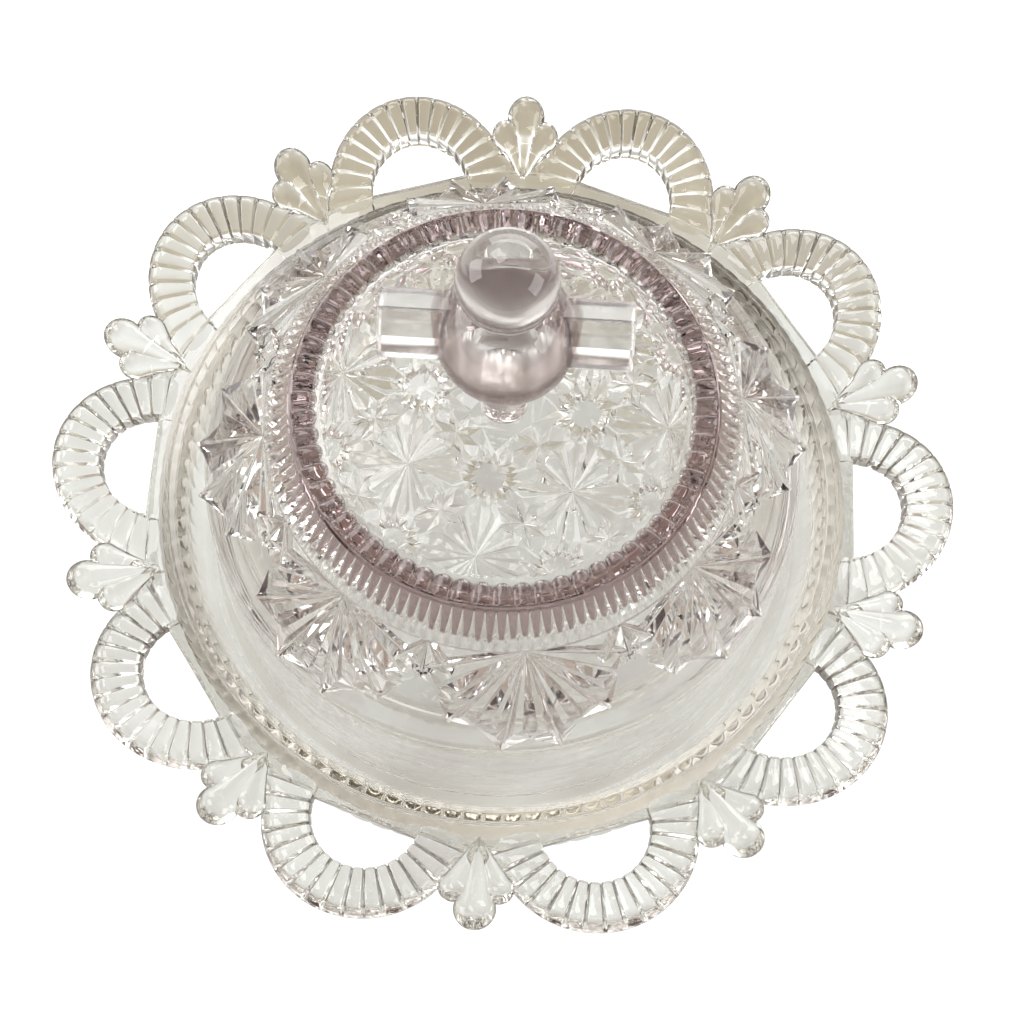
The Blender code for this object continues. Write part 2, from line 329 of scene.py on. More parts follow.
def add_loop(shape):
    """A half ring with two legs, its opening outward along +X."""
    middle = (LOOP_OUT + LOOP_HOLE) / 2
    half = (LOOP_OUT - LOOP_HOLE) / 2
    rings = []
    for place, height in rib_stations():
        share = min(max(place / LOOP_RIBS, 0.0), 1.0)
        inset = LEG_PITCH * (place if place < 0 else min(0.0, LOOP_RIBS - place))
        angle = math.radians(-90.0 + 180.0 * share)
        near_leg = max(0.0, (abs(math.degrees(angle)) - LOOP_FLARE_FROM) / (90.0 - LOOP_FLARE_FROM))
        widen = LOOP_FLARE * near_leg ** 2
        ring = []
        for across, up, grooved in loop_section():
            cut = GROOVE * grooved * (1 - height)
            reach = middle + half * across
            if across > 0:
                reach += widen * across
            elif across < -0.9:
                reach += 0.7 * cut
            if across > 0.6:
                reach -= 0.6 * cut
            slant = LEG_SLANT * (reach - LOOP_HOLE) * min(1.0, -inset / LEG_PITCH)
            x = LOOP_R + inset * 0.55 + reach * math.cos(angle) - slant
            y = reach * math.sin(angle)
            ring.append((x, y, border_z(x) + LOOP_HALF_THICK * up - (cut if up > 0.4 else 0.0)))
        rings.append(ring)
    shape.skin(rings)


def add_lobe(shape, spread, tip_r, bulb):
    """One teardrop of a palmette along +X, thin at its apex, round at its tip."""
    apex = LOOP_R - 0.2
    apex_half = 0.35
    length = tip_r - apex
    sides, steps = 28, 30
    touch = (length - bulb) * 0.96              # where the straight sides meet the round tip
    rings = []
    for i in range(1, steps):
        t = i / steps
        along = length * (t if t < 0.7 else 1 - 0.3 * (1 - math.sin((t - 0.7) / 0.3 * math.pi / 2)))
        if along < touch:
            half = apex_half + (bulb * 0.985 - apex_half) * (along / touch) ** 1.12
        else:
            half = math.sqrt(max(0.02, bulb ** 2 - (along - length + bulb) ** 2))
        share = min(1.0, along / (0.65 * length))
        centre = 3.1 - 2.1 * share
        ring = []
        for k in range(sides):
            angle = 2 * math.pi * k / sides
            across = half * math.cos(angle)
            up = math.sin(angle)
            up *= half * 0.95 if up > 0 else half * 0.85
            turn = math.radians(spread * (0.8 + 0.2 * along / length))
            x = apex + along * math.cos(turn) - across * math.sin(turn)
            y = along * math.sin(turn) + across * math.cos(turn)
            ring.append((x, y, border_z(x) + centre + up))
        rings.append(ring)
    shape.skin(rings)


def make_border_parts():
    """Loops and palmettes in groups whose members stay clear of one another."""
    loop = Shape()
    add_loop(loop)
    parts = []
    for parity in (0, 1):
        shape = Shape()
        for k in range(parity, SECTORS, 2):
            shape.copy_turned(loop, FIRST_PALMETTE + 360.0 / SECTORS * (k + 0.5))
        parts.append(make_object(f"loops_{parity}", shape))
    side_tip_r, side_bulb = OUTER_R - 7.6, 3.5
    middle_tip_r, middle_bulb = OUTER_R - 3.0, 4.6
    for name, spread, tip_r, bulb in (("left", -24.0, side_tip_r, side_bulb),
                                      ("right", 24.0, side_tip_r, side_bulb),
                                      ("middle", 0.0, middle_tip_r, middle_bulb)):
        lobe = Shape()
        add_lobe(lobe, spread, tip_r, bulb)
        shape = Shape()
        for k in range(SECTORS):
            shape.copy_turned(lobe, FIRST_PALMETTE + 360.0 / SECTORS * k)
        parts.append(make_object(f"lobes_{name}", shape))
    return parts


# ------------------------------------------------------------ cover

def off_centre(angles, count):
    """0 in the middle of each of count equal parts of the circle, 1 at its ends."""
    place = (angles * count / (2 * math.pi)) % 1.0
    return np.abs(2 * place - 1)


def fluted(radius, share, slope):
    """Drum outline whose V grooves fill the given share of each rib's width."""
    half_pitch = math.pi * radius / DRUM_RIBS

    def outline(angles):
        inside = np.maximum(0.0, share - off_centre(angles, DRUM_RIBS))
        return radius - half_pitch * slope * inside
    return outline


def arch(angles):
    """Round-headed profile across each arch of the top ring: 1 in its middle, 0 at its sides."""
    return np.sqrt(np.maximum(0.0, 1 - off_centre(angles, RING_ARCHES) ** 2))


def arched(radius, depth):
    """Inner edge of the top ring: the arches' round heads point at the axis."""
    return lambda angles: radius + depth * (1 - arch(angles))


def arched_height(z, depth):
    return lambda angles: z - depth * (1 - arch(angles))


def star(centre, rays, reach, valley, turn, ridge_z, valley_z, tip_z):
    """Outline and centre of a star cut in the top: ridges to the tips, valleys between."""
    cx, cy = centre
    points = [(cx, cy, ridge_z)]
    edges = []
    for i in range(2 * rays):
        angle = turn + math.pi * i / rays
        is_tip = i % 2 == 0
        radius = reach if is_tip else valley
        points.append((cx + radius * math.cos(angle), cy + radius * math.sin(angle),
                       tip_z if is_tip else valley_z))
        edges.append((0, i + 1))
        edges.append((i + 1, (i + 1) % (2 * rays) + 1))
    return points, edges


def button(centre, turn):
    """Round flat-topped button in a ring of small cuts."""
    cx, cy = centre
    points = [(cx, cy, 0.5)]
    edges = []
    cuts = 16
    for radius, high, low in ((2.9, 0.5, 0.5), (4.2, 0.2, -1.0), (5.7, 0.0, -0.6)):
        first = len(points)
        for i in range(2 * cuts):
            angle = turn + math.pi * i / cuts
            height = low if i % 2 else high
            points.append((cx + radius * math.cos(angle), cy + radius * math.sin(angle), height))
            edges.append((first + i, first + (i + 1) % (2 * cuts)))
            if first > 1:
                edges.append((first + i, first + i - 2 * cuts))
    return points, edges


def pattern_motifs():
    """Daisies, buttons and small stars on a square lattice, about the finial."""
    turn = math.radians(PATTERN_TURN)
    cosine, sine = math.cos(turn), math.sin(turn)

    def place(i, j):
        return (CELL * (i * cosine - j * sine), CELL * (i * sine + j * cosine))

    motifs = []
    for i in range(-2, 3):
        for j in range(-2, 3):
            x, y = place(i, j)
            if i == j == 0 or math.hypot(x, y) > PATTERN_R + 4.0:
                continue
            if (i + j) % 2:
                motifs.append(button((x, y), turn))
            else:
                motifs.append(star((x, y), 20, 10.1, 8.8, turn, 0.3, -0.8, 0.3))
    for i in range(-3, 3):
        for j in range(-3, 3):
            x, y = place(i + 0.5, j + 0.5)
            if math.hypot(x, y) > PATTERN_R + 2.0:
                continue
            motifs.append(star((x, y), 8, 5.2, 2.6, turn + math.pi / 8, 0.3, -0.9, -0.1))
    return motifs


def top_pattern(shape, ring):
    """Faces over the patterned disc, joined to the given ring of point indices."""
    edge_r = PATTERN_R - 1.1
    flat = DRUM_TOP_Z - 0.9
    points = []
    heights = []
    edges = []

    def inside(p):
        return math.hypot(p[0], p[1]) <= edge_r

    for motif_points, motif_edges in pattern_motifs():
        place = {}
        for k, p in enumerate(motif_points):
            if inside(p):
                place[k] = len(points)
                points.append(Vector(p[:2]))
                heights.append(flat + p[2])
        for a, b in motif_edges:
            if a in place and b in place:
                edges.append((place[a], place[b]))
            elif a in place or b in place:
                p, q = motif_points[a], motif_points[b]
                if not inside(p):
                    a, b, p, q = b, a, q, p
                low, high = 0.0, 1.0
                for _ in range(30):
                    share = (low + high) / 2
                    x, y = p[0] + (q[0] - p[0]) * share, p[1] + (q[1] - p[1]) * share
                    low, high = (share, high) if math.hypot(x, y) < edge_r else (low, share)
                if low > 0.02:
                    edges.append((place[a], len(points)))
                    points.append(Vector((p[0] + (q[0] - p[0]) * low, p[1] + (q[1] - p[1]) * low)))
                    heights.append(flat + p[2] + (q[2] - p[2]) * low)
    first = len(points)
    for i in ring:
        x, y, z = shape.points[i]
        points.append(Vector((x, y)))
        heights.append(z)
    count = len(ring)
    edges += [(first + i, first + (i + 1) % count) for i in range(count)]
    flat_points, _, triangles, origins, _, _ = delaunay_2d_cdt(points, edges, [], 1, 1e-5, True)
    index = []
    for p, origin in zip(flat_points, origins):
        ring_member = [o for o in origin if o >= first]
        if ring_member:
            index.append(ring[ring_member[0] - first])
        else:
            z = heights[origin[0]] if origin else flat
            index.append(shape.add([(p.x, p.y, z)])[0])
    for triangle in triangles:
        shape.faces.append(tuple(index[i] for i in triangle))


def on_slope(down, lift):
    """Radius and height of a place on the shoulder, down its slope and off it."""
    run = SHOULDER_R - DRUM_LOW_R
    drop = DRUM_LOW_Z - SHOULDER_Z
    slant = math.hypot(run, drop)
    return (DRUM_LOW_R + (down * run + lift * drop) / slant, DRUM_LOW_Z + (lift * run - down * drop) / slant)


def make_cover_body():
    ceiling_z = DRUM_TOP_Z - WALL - 1.0
    inner = rounded([(4.0, ceiling_z), (DRUM_TOP_R - WALL - 0.4, ceiling_z),
                     (DRUM_LOW_R + 0.4 - WALL, DRUM_LOW_Z - 5.5), on_slope(20.5, -7.4),
                     (SHOULDER_R + 2.2 - WALL, RIM_Z), (SKIRT_R - WALL, EDGE_Z + 1.0),
                     (SKIRT_R - WALL + 0.8, EDGE_Z)], 2.5)
    skirt = rounded([(SKIRT_R - WALL + 0.8, EDGE_Z), (SKIRT_R - 0.8, EDGE_Z), (SKIRT_R, EDGE_Z + 1.2),
                     (SHOULDER_R + 2.2, RIM_Z), (SHOULDER_R + 0.2, SHOULDER_Z - 6.0), on_slope(23.0, -3.9),
                     on_slope(1.2, -2.0), (DRUM_LOW_R + 0.2, DRUM_LOW_Z - 1.6)], 3.0)
    rows = smooth_rows(inner, 3.0)
    rows += smooth_rows(skirt, 4.0)[1:]
    run, rise = DRUM_TOP_R - DRUM_LOW_R, DRUM_TOP_Z - DRUM_LOW_Z
    rows += [(DRUM_LOW_R + 0.5, DRUM_LOW_Z - 0.8), (DRUM_LOW_R + 0.4, DRUM_LOW_Z - 0.2)]
    for rise_share, groove_share in ((0.03, 0.0), (0.05, 0.5), (0.12, 0.8), (0.2, 0.92), (0.27, 0.55),
                                     (0.3, 0.85), (0.42, 0.7), (0.6, 0.42), (0.78, 0.2), (0.9, 0.05)):
        flare = 0.5 * (1 - rise_share) ** 3
        rows.append((fluted(DRUM_LOW_R + run * rise_share + flare, groove_share, 1.1),
                     DRUM_LOW_Z + rise * rise_share))
    ring_z = DRUM_TOP_Z
    rows += [(DRUM_TOP_R + 0.1, ring_z - 0.7), (DRUM_TOP_R + 0.15, ring_z - 0.3), (DRUM_TOP_R - 0.15, ring_z),
             (DRUM_TOP_R - 0.5, ring_z)]
    for radius in (DRUM_TOP_R - 0.8, DRUM_TOP_R - 2.0, PATTERN_R + 2.2):
        rows.append((radius, arched_height(ring_z - 0.1, 1.0)))
    rows += [(arched(PATTERN_R + 0.9, 1.4), arched_height(ring_z - 0.25, 1.0)),
             (arched(PATTERN_R + 0.3, 1.6), arched_height(ring_z - 0.7, 0.4)),
             (arched(PATTERN_R, 1.6), ring_z - 1.3), (PATTERN_R - 0.6, ring_z - 1.3)]
    shape, rings = turned(rows, COVER_COLUMNS, ceiling_z, None)
    top_pattern(shape, rings[-1])
    return make_object("cover_body", shape)


def shoulder_point(turn, down, side, lift):
    """Point on the sloping shoulder: down the slope, sideways along it, and off it."""
    radius, z = on_slope(down, lift)
    angle = math.radians(turn) + side / on_slope(down, 0.0)[0]
    return (radius * math.cos(angle), radius * math.sin(angle), z)


def add_fan(shape, turn, rays, length, ridge, cuts):
    """A fan of pointed rays: narrow raised ribs to the tips, and between them cuts that end in a notch.

    Each cut is its share of the way to the next rib, its share of the length, and its height.
    """
    root = -5.2
    rib = ((-0.55, ridge - 0.8), (-0.3, ridge), (0.3, ridge), (0.55, ridge - 0.8))
    lowest = min(height for _, _, height in cuts)
    notches = []
    outline = []
    for i, ray in enumerate(rays):
        angle = math.radians(ray)
        if i:
            between = math.radians((ray + rays[i - 1]) / 2)
            for share, reach, height in cuts:
                cut = math.radians(rays[i - 1] + share * (ray - rays[i - 1]))
                notches.append((reach * length * math.cos(cut), reach * length * math.sin(cut), height))
            gap = 0.985 * length
            outline.append((gap * math.cos(between), gap * math.sin(between), lowest - 0.5))
        for side, lift in rib:
            outline.append((length * math.cos(angle) - side * math.sin(angle),
                            length * math.sin(angle) + side * math.cos(angle), lift))
    apex = shape.add([shoulder_point(turn, 0.4, 0.0, ridge)])[0]
    notches = shape.add([shoulder_point(turn, *p) for p in notches])
    edge = shape.add([shoulder_point(turn, *p) for p in outline])
    under = shape.add([shoulder_point(turn, down, side, root) for down, side, _ in outline])
    apex_under = shape.add([shoulder_point(turn, 0.4, 0.0, root)])[0]
    pitch = len(rib) + 1
    for i in range(len(rays)):
        for k in range(pitch * i, pitch * i + 3):
            shape.faces.append((apex, edge[k], edge[k + 1]))
    for k in range(len(rays) - 1):
        middle = edge[pitch * k + 4]
        line = [edge[pitch * k + 3], *notches[k * len(cuts):(k + 1) * len(cuts)], edge[pitch * k + 5]]
        for a, b in zip(line, line[1:]):
            shape.faces += [(apex, a, b), (middle, b, a)]
    for i in range(len(edge) - 1):
        shape.faces += [(edge[i], under[i], under[i + 1], edge[i + 1]), (apex_under, under[i + 1], under[i])]
    shape.faces += [(apex, apex_under, under[0], edge[0]), (apex, edge[-1], under[-1], apex_under)]


def make_fans():
    big = Shape()
    small = Shape()
    for k in range(FANS):
        turn = FAN_TURN + 360.0 * k / FANS
        add_fan(big, turn, FAN_RAYS, FAN_LENGTH, 0.4, FAN_CUTS)
        add_fan(small, turn + 180.0 / FANS, KITE_RAYS, KITE_LENGTH, 0.6, KITE_CUTS)
    return [make_object("big_fans", big), make_object("small_fans", small)]


def arc(centre_z, radius, start, end, steps):
    """(radius, z) points of an arc about a centre on the axis, angles up from level."""
    points = []
    for i in range(steps + 1):
        angle = math.radians(start + (end - start) * i / steps)
        points.append((radius * math.cos(angle), centre_z + radius * math.sin(angle)))
    return points


def make_finial():
    root = DRUM_TOP_Z - 2.4
    neck_z = (BALL_Z + BALL_R + TOP_BALL_Z - TOP_BALL_R) / 2
    stem = rounded([(4.8, root), (4.7, root + 2.5), (5.0, root + 9.0), (5.3, BALL_Z - 14.0),
                    (5.9, BALL_Z - 11.6)], 1.5, 6)
    rows = smooth_rows(stem, 2.0)[:-1]
    rows += arc(BALL_Z, BALL_R, -63.0, 66.5, 40)
    rows += [(5.02, neck_z - 0.1), (4.95, neck_z + 0.25), (4.97, neck_z + 0.6)]
    rows += arc(TOP_BALL_Z, TOP_BALL_R, -55.0, 87.5, 44)
    shape, _ = turned(rows, 96, root, TOP_Z)
    return make_object("finial", shape)


def make_bar():
    """Cross bar along X: shallow flutes, ends slightly eased."""
    steps = 6
    rings = []
    for x, scale in ((-BAR_HALF, 0.96), (-BAR_HALF + 0.3, 1.0), (-12.0, 1.0), (0.0, 1.0), (12.0, 1.0),
                     (BAR_HALF - 0.3, 1.0), (BAR_HALF, 0.96)):
        ring = []
        for k in range(BAR_FLUTES * steps):
            angle = 2 * math.pi * (k / (BAR_FLUTES * steps))
            hollow = math.sin(math.pi * ((k / steps) % 1.0))
            radius = scale * (BAR_R - BAR_HOLLOW * hollow)
            ring.append((x, radius * math.cos(angle), BAR_Z + radius * math.sin(angle)))
        rings.append(ring)
    shape = Shape()
    shape.skin(rings)
    return make_object("bar", shape)


# ------------------------------------------------------------ shader nodes

def fill(links, socket, value):
    """Gives a socket a number or a colour, or links an output to it."""
    if isinstance(value, float):
        socket.default_value = value
    elif isinstance(value, tuple):
        socket.default_value = (*value, 1.0)
    else:
        links.new(value, socket)


def calculated(nodes, links, operation, *values):
    node = nodes.new("ShaderNodeMath")
    node.operation = operation
    for socket, value in zip(node.inputs, values):
        fill(links, socket, value)
    return node.outputs["Value"]


def multiplied(nodes, links, first, second):
    return calculated(nodes, links, "MULTIPLY", first, second)


def mixed(nodes, links, factor, first, second, blend="MIX"):
    """Colour between the first, at factor 0, and the second, at factor 1."""
    node = nodes.new("ShaderNodeMix")
    node.data_type = "RGBA"
    node.blend_type = blend
    fill(links, node.inputs["Factor"], factor)
    fill(links, node.inputs["A"], first)
    fill(links, node.inputs["B"], second)
    return node.outputs["Result"]


def noise(nodes, links, place, scale, detail=2.0):
    node = nodes.new("ShaderNodeTexNoise")
    node.inputs["Scale"].default_value = scale
    node.inputs["Detail"].default_value = detail
    links.new(place, node.inputs["Vector"])
    return node.outputs["Fac"]


def colour_ramp(nodes, links, value, stops):
    """Colour at a value, between (position, colour) stops."""
    node = nodes.new("ShaderNodeValToRGB")
    elements = node.color_ramp.elements
    for element, (position, colour) in zip(elements, (stops[0], stops[-1])):
        element.position = position
        element.color = (*colour, 1.0)
    for position, colour in stops[1:-1]:
        elements.new(position).color = (*colour, 1.0)
    links.new(value, node.inputs["Fac"])
    return node.outputs["Color"]


def rescaled(nodes, links, value, start, end, low, high):
    """Low at start and before it, high at end and after it, even between."""
    node = nodes.new("ShaderNodeMapRange")
    node.inputs["From Min"].default_value = start
    node.inputs["From Max"].default_value = end
    node.inputs["To Min"].default_value = low
    node.inputs["To Max"].default_value = high
    links.new(value, node.inputs["Value"])
    return node.outputs["Result"]


def ramp_between(nodes, links, value, start, end):
    """0 before start, 1 after end, smooth between; start may be the greater."""
    node = nodes.new("ShaderNodeMapRange")
    node.interpolation_type = "SMOOTHSTEP"
    node.inputs["From Min"].default_value = start
    node.inputs["From Max"].default_value = end
    links.new(value, node.inputs["Value"])
    return node.outputs["Result"]


def axes(nodes, links, place):
    """X, Y and Z of a place, by name."""
    node = nodes.new("ShaderNodeSeparateXYZ")
    links.new(place, node.inputs["Vector"])
    return node.outputs


def radius_and_height(nodes, links, place):
    split = axes(nodes, links, place)
    flat = nodes.new("ShaderNodeCombineXYZ")
    links.new(split["X"], flat.inputs["X"])
    links.new(split["Y"], flat.inputs["Y"])
    length = nodes.new("ShaderNodeVectorMath")
    length.operation = "LENGTH"
    links.new(flat.outputs["Vector"], length.inputs[0])
    return length.outputs["Value"], split["Z"]


# ------------------------------------------------------------ glass

GLASS_IOR = 1.52
CAST_SCALE, CAST_SHADE = 35.0, 0.985        # uneven tint of the cast, and its darker shade
WAVE_SCALE, WAVE_STRENGTH, WAVE_HEIGHT = 110.0, 0.12, 0.0006
POLISH = 0.03                               # most roughness of unworn glass
EDGE_START, EDGE_END = 0.36, 0.74           # Layer Weight facing where the painted edge shade starts and is full
SHADOW_TINT = (0.965, 0.963, 0.96)


def glass_material(name, tint, zones, wear, depth_colour, density, painted_edge_shade, edge_shade_zone):
    """Pressed glass: wavy, dulled where it wears, tinted by its depth and in zones, and darkened with painted
    shade where it is seen edge on.

    Zones are (where, tint), and wear is (where, roughness). Density is per metre of glass. Shadow and
    diffuse rays pass straight through.
    """
    worn, roughness = wear
    material = bpy.data.materials.new(name)
    material.use_nodes = True
    nodes, links = material.node_tree.nodes, material.node_tree.links
    shader = nodes["Principled BSDF"]
    output = nodes["Material Output"]
    shader.inputs["Metallic"].default_value = 0.0
    shader.inputs["IOR"].default_value = GLASS_IOR
    shader.inputs["Transmission Weight"].default_value = 1.0
    place = nodes.new("ShaderNodeTexCoord").outputs["Object"]
    cast = noise(nodes, links, place, CAST_SCALE)
    darker = tuple(c * CAST_SHADE for c in tint)
    shade = colour_ramp(nodes, links, cast, ((0.35, darker), (0.7, tint)))
    for zone, zone_tint in zones:
        shade = mixed(nodes, links, zone(nodes, links, place), shade, zone_tint)
    # Painted shade: the colour turns towards the edge shade where the surface is seen edge on, giving the
    # glass dark outlines.
    slant = nodes.new("ShaderNodeLayerWeight")
    slant.inputs["Blend"].default_value = 0.5
    grazing = ramp_between(nodes, links, slant.outputs["Facing"], EDGE_START, EDGE_END)
    edge = multiplied(nodes, links, grazing, edge_shade_zone(nodes, links, place))
    links.new(mixed(nodes, links, edge, shade, painted_edge_shade), shader.inputs["Base Color"])
    polish = rescaled(nodes, links, cast, 0.0, 1.0, 0.0, POLISH)
    links.new(calculated(nodes, links, "MULTIPLY_ADD", worn(nodes, links, place), roughness, polish),
              shader.inputs["Roughness"])
    bump = nodes.new("ShaderNodeBump")
    bump.inputs["Strength"].default_value = WAVE_STRENGTH
    bump.inputs["Distance"].default_value = WAVE_HEIGHT
    links.new(noise(nodes, links, place, WAVE_SCALE, 1.0), bump.inputs["Height"])
    links.new(bump.outputs["Normal"], shader.inputs["Normal"])
    absorb = nodes.new("ShaderNodeVolumeAbsorption")
    absorb.inputs["Color"].default_value = (*depth_colour, 1.0)
    absorb.inputs["Density"].default_value = density
    links.new(absorb.outputs["Volume"], output.inputs["Volume"])
    path = nodes.new("ShaderNodeLightPath").outputs
    through = nodes.new("ShaderNodeBsdfTransparent")
    through.inputs["Color"].default_value = (*SHADOW_TINT, 1.0)
    surface = nodes.new("ShaderNodeMixShader")
    links.new(calculated(nodes, links, "MAXIMUM", path["Is Shadow Ray"], path["Is Diffuse Ray"]),
              surface.inputs["Fac"])
    links.new(shader.outputs["BSDF"], surface.inputs[1])
    links.new(through.outputs["BSDF"], surface.inputs[2])
    links.new(surface.outputs["Shader"], output.inputs["Surface"])
    return material


def drum_zone(nodes, links, place):
    """The ring of arches and the lands between the drum's flutes, where the glass is thickest."""
    radius, height = radius_and_height(nodes, links, place)
    split = axes(nodes, links, place)
    turn = calculated(nodes, links, "ARCTAN2", split["Y"], split["X"])
    wave = calculated(nodes, links, "COSINE", multiplied(nodes, links, turn, DRUM_RIBS / 2.0))
    land = calculated(nodes, links, "ABSOLUTE", wave)
    groove = rescaled(nodes, links, height, (DRUM_TOP_Z - 0.5) * MM, (DRUM_LOW_Z + 2.0) * MM, 0.0, 0.85)
    over = calculated(nodes, links, "SUBTRACT", land, groove)
    ragged = noise(nodes, links, place, 140.0)
    uneven = calculated(nodes, links, "MULTIPLY_ADD", ragged, 4.0 * MM, height)
    blunt = ramp_between(nodes, links, uneven, (DRUM_LOW_Z + 4.2) * MM, (DRUM_LOW_Z + 4.8) * MM)
    lands = multiplied(nodes, links, ramp_between(nodes, links, over, -0.04, 0.08), blunt)
    outside = ramp_between(nodes, links, radius, (PATTERN_R + 0.2) * MM, (PATTERN_R + 1.2) * MM)
    top = ramp_between(nodes, links, height, (DRUM_TOP_Z - 1.5) * MM, (DRUM_TOP_Z - 1.2) * MM)
    either = calculated(nodes, links, "MAXIMUM", lands, top)
    below = ramp_between(nodes, links, height, (TOP_Z - 55.0) * MM, (TOP_Z - 58.0) * MM)
    return multiplied(nodes, links, multiplied(nodes, links, outside, either), below)


def stem_zone(nodes, links, place):
    """The finial's stem, above its root."""
    radius, height = radius_and_height(nodes, links, place)
    near = ramp_between(nodes, links, radius, 8.2 * MM, 7.9 * MM)
    above = ramp_between(nodes, links, height, (DRUM_TOP_Z + 2.0) * MM, (DRUM_TOP_Z + 7.0) * MM)
    below = ramp_between(nodes, links, height, (BALL_Z - 6.0) * MM, (BALL_Z - 9.0) * MM)
    return multiplied(nodes, links, near, multiplied(nodes, links, above, below))


def foot_zone(nodes, links, place):
    """The foot's underside, scuffed by the table."""
    _, height = radius_and_height(nodes, links, place)
    return ramp_between(nodes, links, height, (TABLE_Z + 0.7) * MM, (TABLE_Z + 0.3) * MM)


def held_zone(nodes, links, place):
    """The lower ball's sides and the bar, dulled where fingers hold them."""
    _, height = radius_and_height(nodes, links, place)
    above = ramp_between(nodes, links, height, (BALL_Z - 11.0) * MM, (BALL_Z - 8.0) * MM)
    below = ramp_between(nodes, links, height, (BALL_Z + 11.0) * MM, (BALL_Z + 8.0) * MM)
    return multiplied(nodes, links, above, below)


def ball_zone(nodes, links, place):
    """The lower ball, whose glass is thick enough to look tinted."""
    radius, _ = radius_and_height(nodes, links, place)
    ball = ramp_between(nodes, links, radius, (BALL_R + 0.6) * MM, (BALL_R + 0.2) * MM)
    return multiplied(nodes, links, ball, held_zone(nodes, links, place))


def border_edge_shade(nodes, links, place):
    """How strongly the painted edge shade shows in the dish: most in the thin ribs of the border."""
    radius, _ = radius_and_height(nodes, links, place)
    return rescaled(nodes, links, radius, (RIM_R - 1.0) * MM, (RIM_R + 0.5) * MM, 0.1, 1.0)


def crown_edge_shade(nodes, links, place):
    """How strongly the painted edge shade shows in the cover: most on its shoulder and drum."""
    _, height = radius_and_height(nodes, links, place)
    cut = ramp_between(nodes, links, height, (SHOULDER_Z - 3.0) * MM, (SHOULDER_Z + 3.0) * MM)
    under_finial = ramp_between(nodes, links, height, (DRUM_TOP_Z + 16.0) * MM, (DRUM_TOP_Z + 10.0) * MM)
    return multiplied(nodes, links, cut, under_finial)


# ------------------------------------------------------------ studio

def make_floor():
    """Pale floor, plain to the eye.

    In and through the glass it carries painted shade and painted reflections of a room: dimmer and neutral
    under the dish, beige towards the back, brown around the front, pale just behind the dish and grey far
    behind it, with blotches of painted shade under the dish.
    """
    size = 3.0
    gap = 0.0002                    # floor below the foot
    plain = (0.95, 0.95, 0.95)
    under_dish, under_dish_back = (0.67, 0.685, 0.67), (0.54, 0.495, 0.385)
    under_border, under_border_back = (0.71, 0.725, 0.705), (0.43, 0.39, 0.305)
    blotch_shade, blotch_clear = (0.72, 0.69, 0.68), (1.0, 1.0, 1.0)
    around, behind, far_behind = (0.33, 0.265, 0.225), (0.92, 0.92, 0.90), (0.42, 0.41, 0.40)
    mesh = bpy.data.meshes.new("floor")
    mesh.from_pydata([(-size, -size, 0.0), (size, -size, 0.0), (size, size, 0.0), (-size, size, 0.0)],
                     [], [(0, 1, 2, 3)])
    floor = bpy.data.objects.new("floor", mesh)
    floor.location.z = TABLE_Z * MM - gap
    bpy.context.collection.objects.link(floor)
    material = bpy.data.materials.new("pale_floor")
    material.use_nodes = True
    nodes, links = material.node_tree.nodes, material.node_tree.links
    shader = nodes["Principled BSDF"]
    shader.inputs["Roughness"].default_value = 0.9
    shader.inputs["Specular IOR Level"].default_value = 0.0
    place = nodes.new("ShaderNodeTexCoord").outputs["Object"]
    radius, _ = radius_and_height(nodes, links, place)
    depth = axes(nodes, links, place)["Y"]
    back = ramp_between(nodes, links, depth, 0.045, 0.10)
    inside = mixed(nodes, links, back, under_dish, under_dish_back)
    border = mixed(nodes, links, back, under_border, under_border_back)
    shade = mixed(nodes, links, ramp_between(nodes, links, radius, 0.078, 0.086), inside, border)
    # Blotches of painted shade on the floor as the glass sees it.
    shade_blotches = colour_ramp(nodes, links, noise(nodes, links, place, 30.0), ((0.3, blotch_shade), (0.7, blotch_clear)))
    shade = mixed(nodes, links, 1.0, shade, shade_blotches, "MULTIPLY")
    outside = ramp_between(nodes, links, radius, 0.120, 0.155)
    before = ramp_between(nodes, links, depth, 0.11, 0.06)
    shade = mixed(nodes, links, multiplied(nodes, links, outside, before), shade, around)
    shade = mixed(nodes, links, ramp_between(nodes, links, depth, 0.125, 0.15), shade, behind)
    shade = mixed(nodes, links, ramp_between(nodes, links, depth, 0.22, 0.34), shade, far_behind)
    # Only the camera sees the floor plain; rays through the glass see the painted shade and reflections.
    path = nodes.new("ShaderNodeLightPath").outputs
    links.new(mixed(nodes, links, path["Is Camera Ray"], shade, plain), shader.inputs["Base Color"])
    mesh.materials.append(material)


def make_world():
    """Even and pale to the eye and as fill light. The glass sees a dim room whose far side is pale."""
    even = (0.97, 0.97, 0.97)
    ceiling = (0.16, 0.13, 0.13)
    walls = ((0.0, (0.07, 0.05, 0.05)), (0.35, (0.13, 0.10, 0.10)), (0.55, (0.30, 0.27, 0.25)),
             (0.75, (0.80, 0.77, 0.70)), (1.0, (0.95, 0.92, 0.85)))
    world = bpy.data.worlds.new("studio")
    bpy.context.scene.world = world
    world.use_nodes = True
    nodes, links = world.node_tree.nodes, world.node_tree.links
    background = nodes["Background"]
    towards = axes(nodes, links, nodes.new("ShaderNodeTexCoord").outputs["Generated"])
    far_side = rescaled(nodes, links, towards["Y"], -1.0, 1.0, 0.0, 1.0)
    room = colour_ramp(nodes, links, far_side, walls)
    room = mixed(nodes, links, ramp_between(nodes, links, towards["Z"], 0.6, 0.9), room, ceiling)
    path = nodes.new("ShaderNodeLightPath").outputs
    plain = calculated(nodes, links, "MAXIMUM", path["Is Camera Ray"], path["Is Diffuse Ray"])
    links.new(mixed(nodes, links, plain, room, even), background.inputs["Color"])
    background.inputs["Strength"].default_value = 1.0


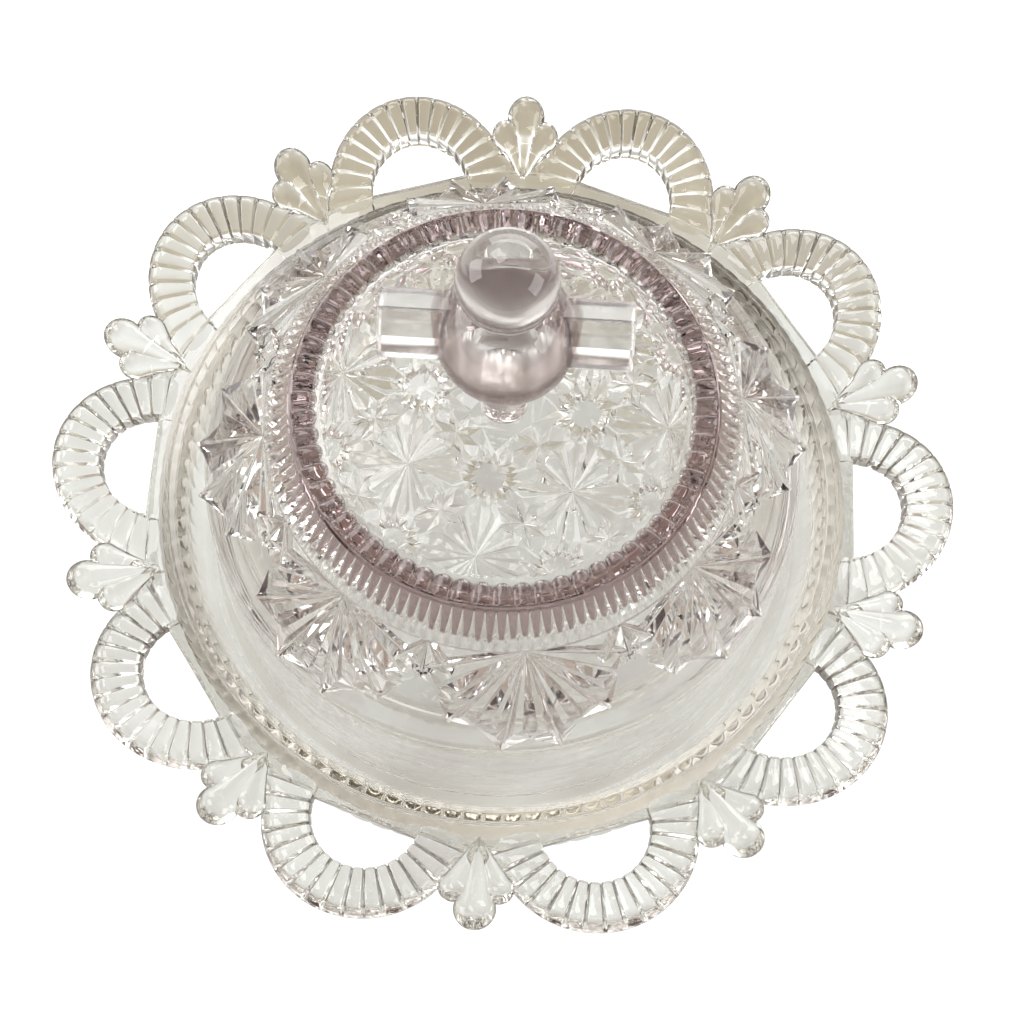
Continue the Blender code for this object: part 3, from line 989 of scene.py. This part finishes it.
def add_area(name, place, target, size, watts):
    light = bpy.data.lights.new(name, "AREA")
    light.shape = "RECTANGLE"
    light.size, light.size_y = size
    light.energy = watts
    item = bpy.data.objects.new(name, light)
    item.location = place
    item.rotation_euler = (Vector(target) - Vector(place)).to_track_quat("-Z", "Y").to_euler()
    bpy.context.collection.objects.link(item)


def make_camera():
    """Looks down on the near side at about 72 degrees, close in, as by hand."""
    elevation = math.radians(71.84)
    azimuth = math.radians(-90.0 + 0.9)
    roll = 0.0463                   # radians
    distance = 0.3582
    target = Vector((2.6, -6.26, RIM_Z)) * MM
    back = Vector((math.cos(elevation) * math.cos(azimuth), math.cos(elevation) * math.sin(azimuth),
                   math.sin(elevation)))
    data = bpy.data.cameras.new("camera")
    data.sensor_width = 36.0
    data.lens = 54.72
    data.clip_start, data.clip_end = 0.01, 20.0
    camera = bpy.data.objects.new("camera", data)
    turn = (-back).to_track_quat("-Z", "Y").to_matrix() @ Matrix.Rotation(roll, 3, "Z")
    camera.matrix_world = Matrix.Translation(target + back * distance) @ turn.to_4x4()
    bpy.context.collection.objects.link(camera)
    bpy.context.scene.camera = camera


# ------------------------------------------------------------ assembly

SHARP_DEGREES = 24                  # creases steeper than this stay crisp


def main():
    make_camera()
    make_world()
    make_floor()
    add_area("back", (0.1, 1.2, 0.38), (0, 0, 0.03), (1.5, 0.6), 8.0)
    add_area("window", (-0.33, 0.50, 0.95), (0, 0, 0.08), (0.36, 0.6), 3.0)
    add_area("left", (-1.0, 0.15, 0.45), (0, 0, 0.03), (0.7, 0.6), 5.0)
    add_area("right", (1.0, -0.25, 0.50), (0, 0, 0.03), (0.7, 0.5), 4.0)
    bpy.context.scene.view_settings.view_transform = "Standard"
    cycles = bpy.context.scene.cycles       # light crosses many faces in thick cut glass
    cycles.max_bounces = cycles.transmission_bounces = 32
    cycles.glossy_bounces = 24

    dish = unite("pressed_dish", make_dish_body(), make_border_parts())
    scuffed = (0.85, 0.82, 0.765)
    # The dish's glass takes near-black painted shade where it is seen edge on, most in the border.
    dish_glass = glass_material(
        "dish_glass_pressed", tint=(0.975, 0.98, 0.965), zones=[(foot_zone, scuffed)],
        wear=(foot_zone, 0.32), depth_colour=(0.66, 0.625, 0.545), density=12.0,
        painted_edge_shade=(0.06, 0.05, 0.045), edge_shade_zone=border_edge_shade)
    finish_surface(dish, dish_glass, SHARP_DEGREES)
    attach(dish, "dish")
    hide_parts("dish")

    cover = unite("pressed_cover", make_cover_body(), [*make_fans(), make_finial(), make_bar()])
    amethyst = (0.225, 0.14, 0.145)
    smoky = (0.32, 0.24, 0.24)
    clouded = (0.47, 0.39, 0.375)
    # The cover's glass takes brown painted shade where it is seen edge on, on its shoulder and drum.
    cover_glass = glass_material(
        "cover_glass_pressed", tint=(0.985, 0.985, 0.98),
        zones=[(drum_zone, amethyst), (stem_zone, smoky), (ball_zone, clouded)],
        wear=(held_zone, 0.16), depth_colour=(0.66, 0.63, 0.62), density=8.0,
        painted_edge_shade=(0.40, 0.32, 0.30), edge_shade_zone=crown_edge_shade)
    finish_surface(cover, cover_glass, SHARP_DEGREES)
    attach(cover, "cover")
    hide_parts("cover")


main()
